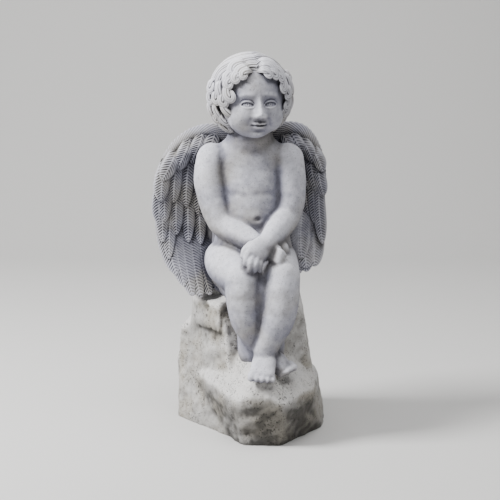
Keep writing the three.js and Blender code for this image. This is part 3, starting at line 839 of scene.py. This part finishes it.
def hair_cap(columns=270, rows=190):
    """The hair that lies flat: rings from the hairline to a whorl at the back. Near the face the
    strands run along the rings, down to either side, gathered into broad locks, and at the back they
    spread from the whorl."""
    clock = np.linspace(-np.pi, np.pi, columns, endpoint=False)[None, :]
    share = np.linspace(-0.1, 0.995, rows)[:, None]
    start = hairline(clock) + 3 * np.cos(7 * np.abs(clock) - 1)
    away = np.radians(start + (HAIR_BACK - start) * share)
    wide = np.broadcast_to(clock, away.shape)
    base = on_cap(wide, away, np.zeros_like(away))
    swept = share + 0.05 * np.cos(3 * np.abs(clock - HAIR_PARTING)) + 0.035 * noise(base, 32, 5)
    locks = np.cos(2 * np.pi * CAP_LOCKS * swept)
    waver = 1.2 * noise(base, 16, 6)
    over = np.abs(np.sin(np.pi * CAP_STRANDS * swept + waver))
    down = np.abs(np.sin(CAP_BACK_STRANDS * clock + 16 * share + 3.2 * noise(base, 34, 7)))
    strands = over + (down - over) * ease(0.4, 0.6, share)
    lift = np.interp(share, [-0.1, -0.01, 0.03, 0.1, 0.25, 0.5, 1], [-14, -2, 2, 3.5, 2.5, 0, 0])
    shown = ease(-0.03, 0.03, share) * ease(1, 0.9, share)
    lift = lift + (1.0 * locks * ease(0.8, 0.3, share) + 1.5 * (strands - 0.65)) * shown
    return closed(on_head(on_cap(wide, away, lift)), (1 - strands) * shown)


def lock(clock, back, length, heading, wave, turn, width, lift=3.0, sides=28, rows=48):
    """A tress of hair that starts back from the hairline: its heading (0 to the face, a quarter turn
    along the hairline) waves and then curls ever faster, and its flat section, grooved into
    strands, swells and then tapers."""
    t = np.linspace(0, 1, rows)
    way = heading + wave * np.sin(2 * np.pi * t) + turn * ease(0.4, 1.1, t)
    ahead = np.cumsum(np.cos(way)) * length / rows
    aside = np.cumsum(np.sin(way)) * length / rows
    radius = HAIR_RADII.mean()
    away_t = np.radians(hairline(np.array(clock)) + back) - ahead / radius
    clock_t = clock + aside / (radius * np.maximum(np.sin(away_t), 0.3))
    middle = on_cap(clock_t, away_t, lift + 2.0 * np.sin(np.pi * t) - 5 * ease(0.25, 0, t))
    along = unit(np.gradient(middle, axis=0))
    out = unit(middle - HAIR_MIDDLE)
    across = unit(np.cross(out, along))
    size = width * (0.35 + 0.65 * np.sin(np.pi * (0.15 + 0.55 * t))) * (1 - 0.6 * ease(0.4, 1, t))
    size = size * np.sqrt(np.clip(1 - np.clip((t - 0.86) / 0.14, 0, 1) ** 2, 0.01, 1))
    size = size * (0.3 + 0.7 * ease(-0.05, 0.3, t))
    angle = np.linspace(0, 2 * np.pi, sides, endpoint=False)[None, :]
    strands = np.abs(np.sin(LOCK_STRANDS * np.cos(angle) * np.pi / 2 + 0.6))
    thick = LOCK_FLATNESS * size[:, None] * np.sin(angle) * (0.6 + 0.6 * strands)
    grid = (
        middle[:, None]
        + across[:, None] * (size[:, None] * np.cos(angle))[..., None]
        + out[:, None] * thick[..., None]
    )
    return closed(on_head(grid), np.broadcast_to(1 - strands, (rows, sides)))


def make_tresses():
    """Tresses over the cap: chains of them along the brow from the parting, each ending in a curl,
    and waves down each side in three tiers, curled at their ends."""
    random = np.random.default_rng(4)
    shells = []
    for side in (-1, 1):
        for aside, back, length, curl in BROW_TRESSES:
            clock = math.radians(aside) * side + HAIR_PARTING
            heading = side * random.uniform(1.3, 1.45)
            wave = side * random.uniform(0.35, 0.5)
            shells.append(lock(clock, back, length, heading, wave, -side * curl, random.uniform(7.6, 8.8)))
        for step in range(6):
            clock = math.radians(56 + 16 * step) * side + HAIR_PARTING
            for back in (7, 22, 38):
                heading = side * random.uniform(0.8, 1.25)
                wave = side * random.uniform(0.4, 0.65)
                curl = side * random.choice([-4.2, -3.4, 3.0])
                length = random.uniform(38, 52)
                shells.append(lock(clock, back, length, heading, wave, curl, random.uniform(6.8, 8.6)))
    return together(shells)


def wing_depth(x, z):
    """The depth of a wing's middle surface: swept forwards with the span, curled forwards below."""
    drop = np.clip((WING_CURL["below"] - z) / WING_CURL["drop"], 0, 1)
    return WING_SPINE - WING_SWEEP * np.abs(x) - WING_CURL["forward"] * drop**1.5


def feather(root, tip, bow, width, thick, side, seed):
    """A feather: a slab with round edges along a bowed line, sunk at its hidden root and round at its
    tip. It leans over the next one, and its front has a raised shaft and barbs that slant from the
    shaft towards the tip at an even pitch. Its back is plain."""
    root, tip = np.array(root), np.array(tip)
    length = np.linalg.norm(tip - root)
    run = (tip - root) / length
    knee = (root + tip) / 2 + np.array([run[1], -run[0]]) * side * bow
    rows = int(length / FEATHER_ROW_STEP)
    t = (1 - (1 - np.linspace(0, 1, rows)) ** 1.2)[:, None] * 0.996
    middle = (1 - t) ** 2 * root + 2 * t * (1 - t) * knee + t**2 * tip
    along = unit(2 * (1 - t) * (knee - root) + 2 * t * (tip - knee))
    fade = np.sqrt(1 - np.maximum(0, (t - 1) / FEATHER_TIP + 1) ** 2)
    half = width * (0.7 + 0.3 * np.sin(np.pi * np.minimum(t / 1.2, 0.5))) * fade
    front = np.linspace(-1, 1, FEATHER_FRONT_COLUMNS)
    back = np.linspace(1, -1, FEATHER_BACK_COLUMNS + 2)[1:-1]
    across = np.concatenate([front, back])[None, :]
    hump = np.sqrt(1 - across**8)
    ragged = 0.25 * math.sin(seed) + 0.2 * np.sin(6 * t + seed) + 0.12 * np.sin(5 * across + 2 * seed)
    trail = BARB_SLANT * np.abs(across) ** 1.3 * half
    barbs = np.sin(2 * np.pi * ((t * length - trail) / BARB_PITCH + ragged))
    shaft = np.exp(-((across / 0.08) ** 2))
    ridge = thick * (0.85 + 0.15 * fade) - FEATHER_CROWN * fade * np.abs(across) ** 1.5
    relief = BARB_DEPTH * barbs * (1 - shaft) + 0.5 * shaft
    lean = FEATHER_LEAN * side * across * fade
    sink = min(ROOT_SINK, thick - 1) * (1 - ease(0, ROOT_LENGTH, t * length))
    ahead = sink - ridge - lean - relief * np.sqrt(fade)
    behind = FEATHER_BACK + FEATHER_BACK_SHARE * thick + FEATHER_BACK_LEAN * side * across
    depth = np.where(np.arange(across.size) < front.size, ahead, behind)
    x = middle[:, :1] + along[:, 1:] * half * across
    z = middle[:, 1:] - along[:, :1] * half * across
    y = wing_depth(x, z) + hump * depth
    return closed(np.stack([x, y, z], -1), (0.5 - 0.5 * barbs) * (1 - shaft))


def feathers(rows, side):
    """Rows of feathers that lie over each other, spaced evenly from the first root and tip of a row
    to its last."""
    shells = []
    for number, row in enumerate(rows):
        steps = np.linspace(0, 1, row.count)
        roots = spline(row.roots, steps)
        tips = spline(row.tips, steps)
        for i in range(row.count):
            seed = 10 * number + i
            shells.append(feather(roots[i], tips[i], row.bow, row.width, row.thick, side, seed))
    return together(shells)


def make_wing(web, arm, rows, side):
    """A wing: a web that joins it to the back, the rounded arm along its leading edge, and its rows
    of feathers."""
    leading = limb(arm, sides=64, rings=240, cut=ARM_DEPTH, slant=ARM_SLANT * side)
    return together([limb(web), leading, feathers(rows, side)])


def block(middle, sharpness, flats, rows=120, columns=200):
    """A block of rock: the distance to its face each way is the p-norm of its flats, which leaves
    its edges a little round."""
    latitude = np.radians(np.linspace(-89, 89, rows))[:, None]
    azimuth = np.linspace(0, 2 * np.pi, columns, endpoint=False)[None, :]
    way = ways(azimuth, latitude)
    total = 0
    for through, compass, climb in flats:
        normal = ways(math.radians(compass), math.radians(climb))
        plane = normal / np.dot(np.array(through) - np.array(middle), normal)
        total = total + np.maximum(0, way @ plane) ** sharpness
    return closed(np.array(middle) + way * (total ** (-1 / sharpness))[..., None])


def sawn(shell):
    """The shell cut off level at the ground and closed there by a flat face."""
    holder = fill_mesh("sawn", shell)
    mesh = holder.data
    marks = shell.carved.astype(np.float32)
    mesh.attributes.new("carved", "FLOAT", "POINT").data.foreach_set("value", marks)
    work = bmesh.new()
    work.from_mesh(mesh)
    everything = [*work.verts, *work.edges, *work.faces]
    cut = bmesh.ops.bisect_plane(work, geom=everything, plane_no=(0, 0, -1), clear_outer=True)["geom_cut"]
    rim = [part for part in cut if isinstance(part, bmesh.types.BMEdge)]
    bmesh.ops.holes_fill(work, edges=rim)
    bmesh.ops.triangulate(work, faces=work.faces[:])
    work.to_mesh(mesh)
    work.free()
    points = points_of(mesh)
    marks = np.empty(len(mesh.vertices))
    mesh.attributes["carved"].data.foreach_get("value", marks)
    faces = np.empty(len(mesh.loops), dtype=np.int32)
    mesh.loops.foreach_get("vertex_index", faces)
    discard(holder)
    return Shell(points, faces.reshape(-1, 3).astype(np.int64), marks)


def make_rock():
    """The blocks fused, scooped at two sizes as stone breaks, roughened, pitted in clusters, and sawn
    flat at the ground."""
    stone = relax(cast(together([block(*b) for b in BLOCKS]), ROCK_PITCH), 1)
    p = stone.points
    pits = ease(0.35, 0.75, noise(p, 5.5, 40)) * ease(0.05, 0.5, noise(p, 36, 43))
    breaks = sum(height * scoops(p, size, seed) for height, size, seed in BREAKS)
    stone = raised(stone, breaks - BREAK_LEVEL + ROCK_GRAIN * rough(p, 8, 2, 37) - PIT_DEPTH * pits)
    return sawn(stone._replace(carved=np.clip(pits, 0, 1)))


def hollows(shell, times):
    """How far each point would rise if the carving round it were melted smooth: above 0 in cut
    lines and pits, below 0 on ridges."""
    moved = relax(shell, times).points - shell.points
    return np.sum(moved * normals_and_areas(shell)[0], axis=1)


def shelter(skin, shells, reach, cell=2.5):
    """How closed in each point is: the area of the casting's skin near a spot a little way out from
    it, blurred by a bell of that reach, over what a flat face would have there, less one."""
    low = skin.points.min(0) - 4 * reach
    shape = np.ceil((skin.points.max(0) + 4 * reach - low) / cell).astype(int)
    cells = np.ravel_multi_index(((skin.points - low) / cell).astype(int).T, shape)
    amount = np.bincount(cells, normals_and_areas(skin)[1], np.prod(shape)).reshape(shape)
    spread = np.fft.rfftn(amount)
    for axis, size in enumerate(shape):
        rate = np.fft.rfftfreq(size) if axis == 2 else np.fft.fftfreq(size)
        bell = np.exp(-2 * (np.pi * rate * reach / cell) ** 2)
        spread = spread * bell.reshape([-1 if k == axis else 1 for k in range(3)])
    amount = np.fft.irfftn(spread, s=shape)
    flat = FLAT_SHARE * cell**3 / reach
    closeness = []
    for shell in shells:
        spots = shell.points + SPOT_OUT * reach * normals_and_areas(shell)[0]
        place = np.clip((spots - low) / cell - 0.5, 0, shape - 1.001)
        whole = place.astype(int)
        near = blended(whole, place - whole, lambda cells: amount[tuple(cells.T)])
        closeness.append(near / flat - 1)
    return closeness


class Shade:
    """A socket in a material that takes part in Python sums: each operator adds a Math node."""

    def __init__(self, recipe, socket):
        self.recipe = recipe
        self.socket = socket

    def sum_of(self, operation, first, second):
        return self.recipe.node("ShaderNodeMath", {"operation": operation}, {0: first, 1: second})

    def __add__(self, other):
        return self.sum_of("ADD", self, other)

    def __sub__(self, other):
        return self.sum_of("SUBTRACT", self, other)

    def __rsub__(self, other):
        return self.sum_of("SUBTRACT", other, self)

    def __mul__(self, other):
        return self.sum_of("MULTIPLY", self, other)

    __radd__ = __add__
    __rmul__ = __mul__

    def between(self, low, high):
        """Eased from 0 at low to 1 at high."""
        settings = {"interpolation_type": "SMOOTHSTEP"}
        return self.recipe.node("ShaderNodeMapRange", settings, {0: self, 1: low, 2: high})


class Recipe:
    """A material's node tree, with one method that adds any node."""

    def __init__(self, name):
        self.material = bpy.data.materials.new(name)
        self.material.use_nodes = True
        self.tree = self.material.node_tree
        self.shader = self.tree.nodes["Principled BSDF"]

    def put(self, socket, value):
        if isinstance(value, Shade):
            self.tree.links.new(value.socket, socket)
        else:
            socket.default_value = value

    def node(self, kind, settings, sockets, output=0):
        made = self.tree.nodes.new(kind)
        for key, value in settings.items():
            setattr(made, key, value)
        for key, value in sockets.items():
            self.put(made.inputs[key], value)
        return Shade(self, made.outputs[output])

    def mix(self, share, first, second):
        """Colours mixed by a share from 0 to 1."""
        settings = {"data_type": "RGBA"}
        return self.node("ShaderNodeMix", settings, {0: share, 6: first, 7: second}, output=2)

    def spots(self, place, size, detail=2.0):
        """Noise with features about that many millimetres across."""
        sockets = {"Vector": place, "Scale": 1 / (size * MM), "Detail": detail}
        return self.node("ShaderNodeTexNoise", {}, sockets)


def srgb(red, green, blue):
    """A colour as seen on screen, 0 to 255, as linear light."""
    return (*(((c / 255 + 0.055) / 1.055) ** 2.4 for c in (red, green, blue)), 1.0)


def stone_finish(name, colours, sand_size, patchy, grain, speckled, pocked):
    """Weathered cast stone: a mid tone that pales where it is little darkened, on worn edges and as
    painted light on faces turned up, and darkens where grime and painted shade are put; patched with
    warm stain, speckled with sand, pocked in clusters with painted shade and dirt in the pits, and
    bumped by its grain."""
    recipe = Recipe(name)
    pale, tone, dark, warm = (srgb(*colour) for colour in colours)
    place = recipe.node("ShaderNodeTexCoord", {}, {}, "Object")
    grime_and_shade = recipe.node("ShaderNodeAttribute", {"attribute_name": "grime_and_shade"}, {}, "Fac")
    patches = recipe.spots(place, PATCH_SIZE, 3.0)
    blotches = recipe.spots(place, BLOTCH_SIZE, 3.0)
    sand = recipe.spots(place, sand_size, 3.0)
    dirt_and_shade = grime_and_shade + patchy * blotches - 0.5 * patchy
    colour = recipe.mix(patches.between(0.38, 0.66), tone, warm)
    # Paler where little is darkened: wear on edges and painted light on faces turned up
    colour = recipe.mix((0.5 - dirt_and_shade).between(0.05, 0.75), colour, pale)
    # Darker where grime and painted shade are put: in recesses, creases and under things
    colour = recipe.mix(dirt_and_shade.between(0.32, 0.95), colour, dark)
    colour = recipe.mix(sand.between(0.55, 0.75) * speckled, colour, dark)
    # Pocks in clusters, bumped in and darkened: painted shade in the small pits, with dirt
    clusters = recipe.spots(place, POCK_CLUSTER).between(0.44, 0.58)
    pocks = recipe.spots(place, POCK_SIZE, 1.0).between(0.58, 0.68) * clusters
    colour = recipe.mix(pocks * pocked, colour, dark)
    recipe.put(recipe.shader.inputs["Base Color"], colour)
    recipe.put(recipe.shader.inputs["Roughness"], 0.9)
    recipe.put(recipe.shader.inputs["Specular IOR Level"], 0.25)
    height = sand + 0.6 * blotches - 2 * pocked * pocks
    sockets = {"Strength": grain, "Distance": GRAIN_DEPTH * MM, "Height": height}
    bumped = recipe.node("ShaderNodeBump", {}, sockets)
    recipe.put(recipe.shader.inputs["Normal"], bumped)
    return recipe.material


def place_piece(name, shell, grime_and_shade, finish):
    """A finished piece: its mesh with the grime and painted shade kept on its points, riding on the
    casting.
    """
    made = fill_mesh(name, shell)
    kept = made.data.attributes.new("grime_and_shade", "FLOAT", "POINT")
    kept.data.foreach_set("value", grime_and_shade.astype(np.float32))
    made.data.materials.append(finish)
    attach(made, "root")
    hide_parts(NODE)
    return made


def area_light(name, place, aim, size, power):
    """A square lamp at place that shines towards aim."""
    lamp = bpy.data.lights.new(name, "AREA")
    lamp.size = size * MM
    lamp.energy = power
    holder = bpy.data.objects.new(name, lamp)
    bpy.context.scene.collection.objects.link(holder)
    holder.location = Vector(place) * MM
    away = (Vector(place) - Vector(aim)) * MM
    holder.rotation_euler = away.to_track_quat("Z", "Y").to_euler()
    return holder


def build_pieces():
    """The eight pieces, darkened where the carving shelters them, in the cut lines and below, by grime
    where rain doesn't wash it off and by painted shade where less light falls; faces that turn up are
    painted paler, as lit from above."""
    shells = {
        "body": make_body(),
        "head": make_head(),
        "hair_cap": hair_cap(),
        "tresses": make_tresses(),
        "right_wing": make_wing(RIGHT_WEB, RIGHT_WING_ARM, RIGHT_ROWS, -1),
        "left_wing": make_wing(LEFT_WEB, LEFT_WING_ARM, LEFT_ROWS, 1),
        "left_lobes_painted_lit": feathers(LEFT_LOBES, 1),
        "rock": make_rock(),
    }
    finishes = {name: stone_finish(name, *finish) for name, finish in FINISHES.items()}
    outer_skin = cast(together(list(shells.values())), SKIN_OF_ALL_PITCH)
    # How closed in each point is, near and wide: nooks and recesses are darkened with grime and with
    # painted shade where less light reaches
    near = shelter(outer_skin, shells.values(), NOOK_REACH)
    wide = shelter(outer_skin, shells.values(), RECESS_REACH)
    for (name, shell), small, large in zip(shells.items(), near, wide):
        shade_and_grime = SHADE_AND_GRIME[name]
        # Cut lines and carved grooves are darkened, with grime and painted shade in them; ridges pale as
        # wear
        cut_lines = np.clip(hollows(shell, CUT_MELT) / HOLLOW_DEPTH, -0.5, 1)
        facing = melted(shell, normals_and_areas(shell)[0], FACING_MELT * shade_and_grime.melt)
        # Faces that turn down are darkened and faces that turn up paled: painted light from above, as well
        # as rain-washing
        below = WASHED_AND_LIT_SLOPE - facing[:, 2]
        grime_and_shade = shade_and_grime.nooks * small + shade_and_grime.recesses * large + shade_and_grime.undersides * below
        grime_and_shade = grime_and_shade + GRIME_ALL_OVER + shade_and_grime.cuts * cut_lines + shade_and_grime.carved * shell.carved
        grime_and_shade = melted(shell, grime_and_shade[:, None], shade_and_grime.melt)[:, 0]
        place_piece(name, shell, np.clip(grime_and_shade, 0, shade_and_grime.most), finishes[shade_and_grime.finish])


def sweep(half=4000, back=1500, bend=900, rise_to=4500, columns=3, rows=60):
    """A pale sheet: flat floor that bends up behind in a quarter circle and goes on as a wall."""
    flat_y = np.array([-half, back])
    turn = np.linspace(0, np.pi / 2, rows)
    y = np.concatenate([flat_y, back + bend * np.sin(turn), [back + bend]])
    z = np.concatenate([[0, 0], bend * (1 - np.cos(turn)), [rise_to]])
    x = np.linspace(-half, half, columns)
    grid = np.stack(np.broadcast_arrays(x[None, :], y[:, None], z[:, None]), -1)
    here = np.arange(len(y) * columns).reshape(len(y), columns)
    a, b, c, d = here[:-1, :-1], here[:-1, 1:], here[1:, 1:], here[1:, :-1]
    faces = np.vstack([np.stack([a, b, c], -1).reshape(-1, 3), np.stack([a, c, d], -1).reshape(-1, 3)])
    return Shell(grid.reshape(-1, 3), faces, np.zeros(grid.size // 3))


def build_studio():
    """A pale floor, soft lamps and sky, and the camera at the height and dip of the view."""
    floor = fill_mesh("floor", sweep())
    pale = Recipe("pale_floor")
    pale.put(pale.shader.inputs["Base Color"], srgb(*FLOOR_COLOUR))
    pale.put(pale.shader.inputs["Roughness"], 0.95)
    floor.data.materials.append(pale.material)
    for lamp in LAMPS:
        area_light(lamp.name, lamp.place, LIT_POINT, lamp.size, lamp.power)
    world = bpy.data.worlds.new("pale_sky")
    bpy.context.scene.world = world
    world.use_nodes = True
    sky = world.node_tree.nodes["Background"]
    sky.inputs["Color"].default_value = SKY_COLOUR
    sky.inputs["Strength"].default_value = SKY_STRENGTH
    camera = bpy.data.cameras.new("camera")
    camera.lens = CAMERA_LENS
    camera.sensor_width = CAMERA_SENSOR
    holder = bpy.data.objects.new("camera", camera)
    bpy.context.scene.collection.objects.link(holder)
    holder.location = (0, -CAMERA_BACK * MM, CAMERA_HEIGHT * MM)
    holder.rotation_euler = (math.radians(90 - CAMERA_DIP), 0, 0)
    bpy.context.scene.camera = holder


build_pieces()
build_studio()
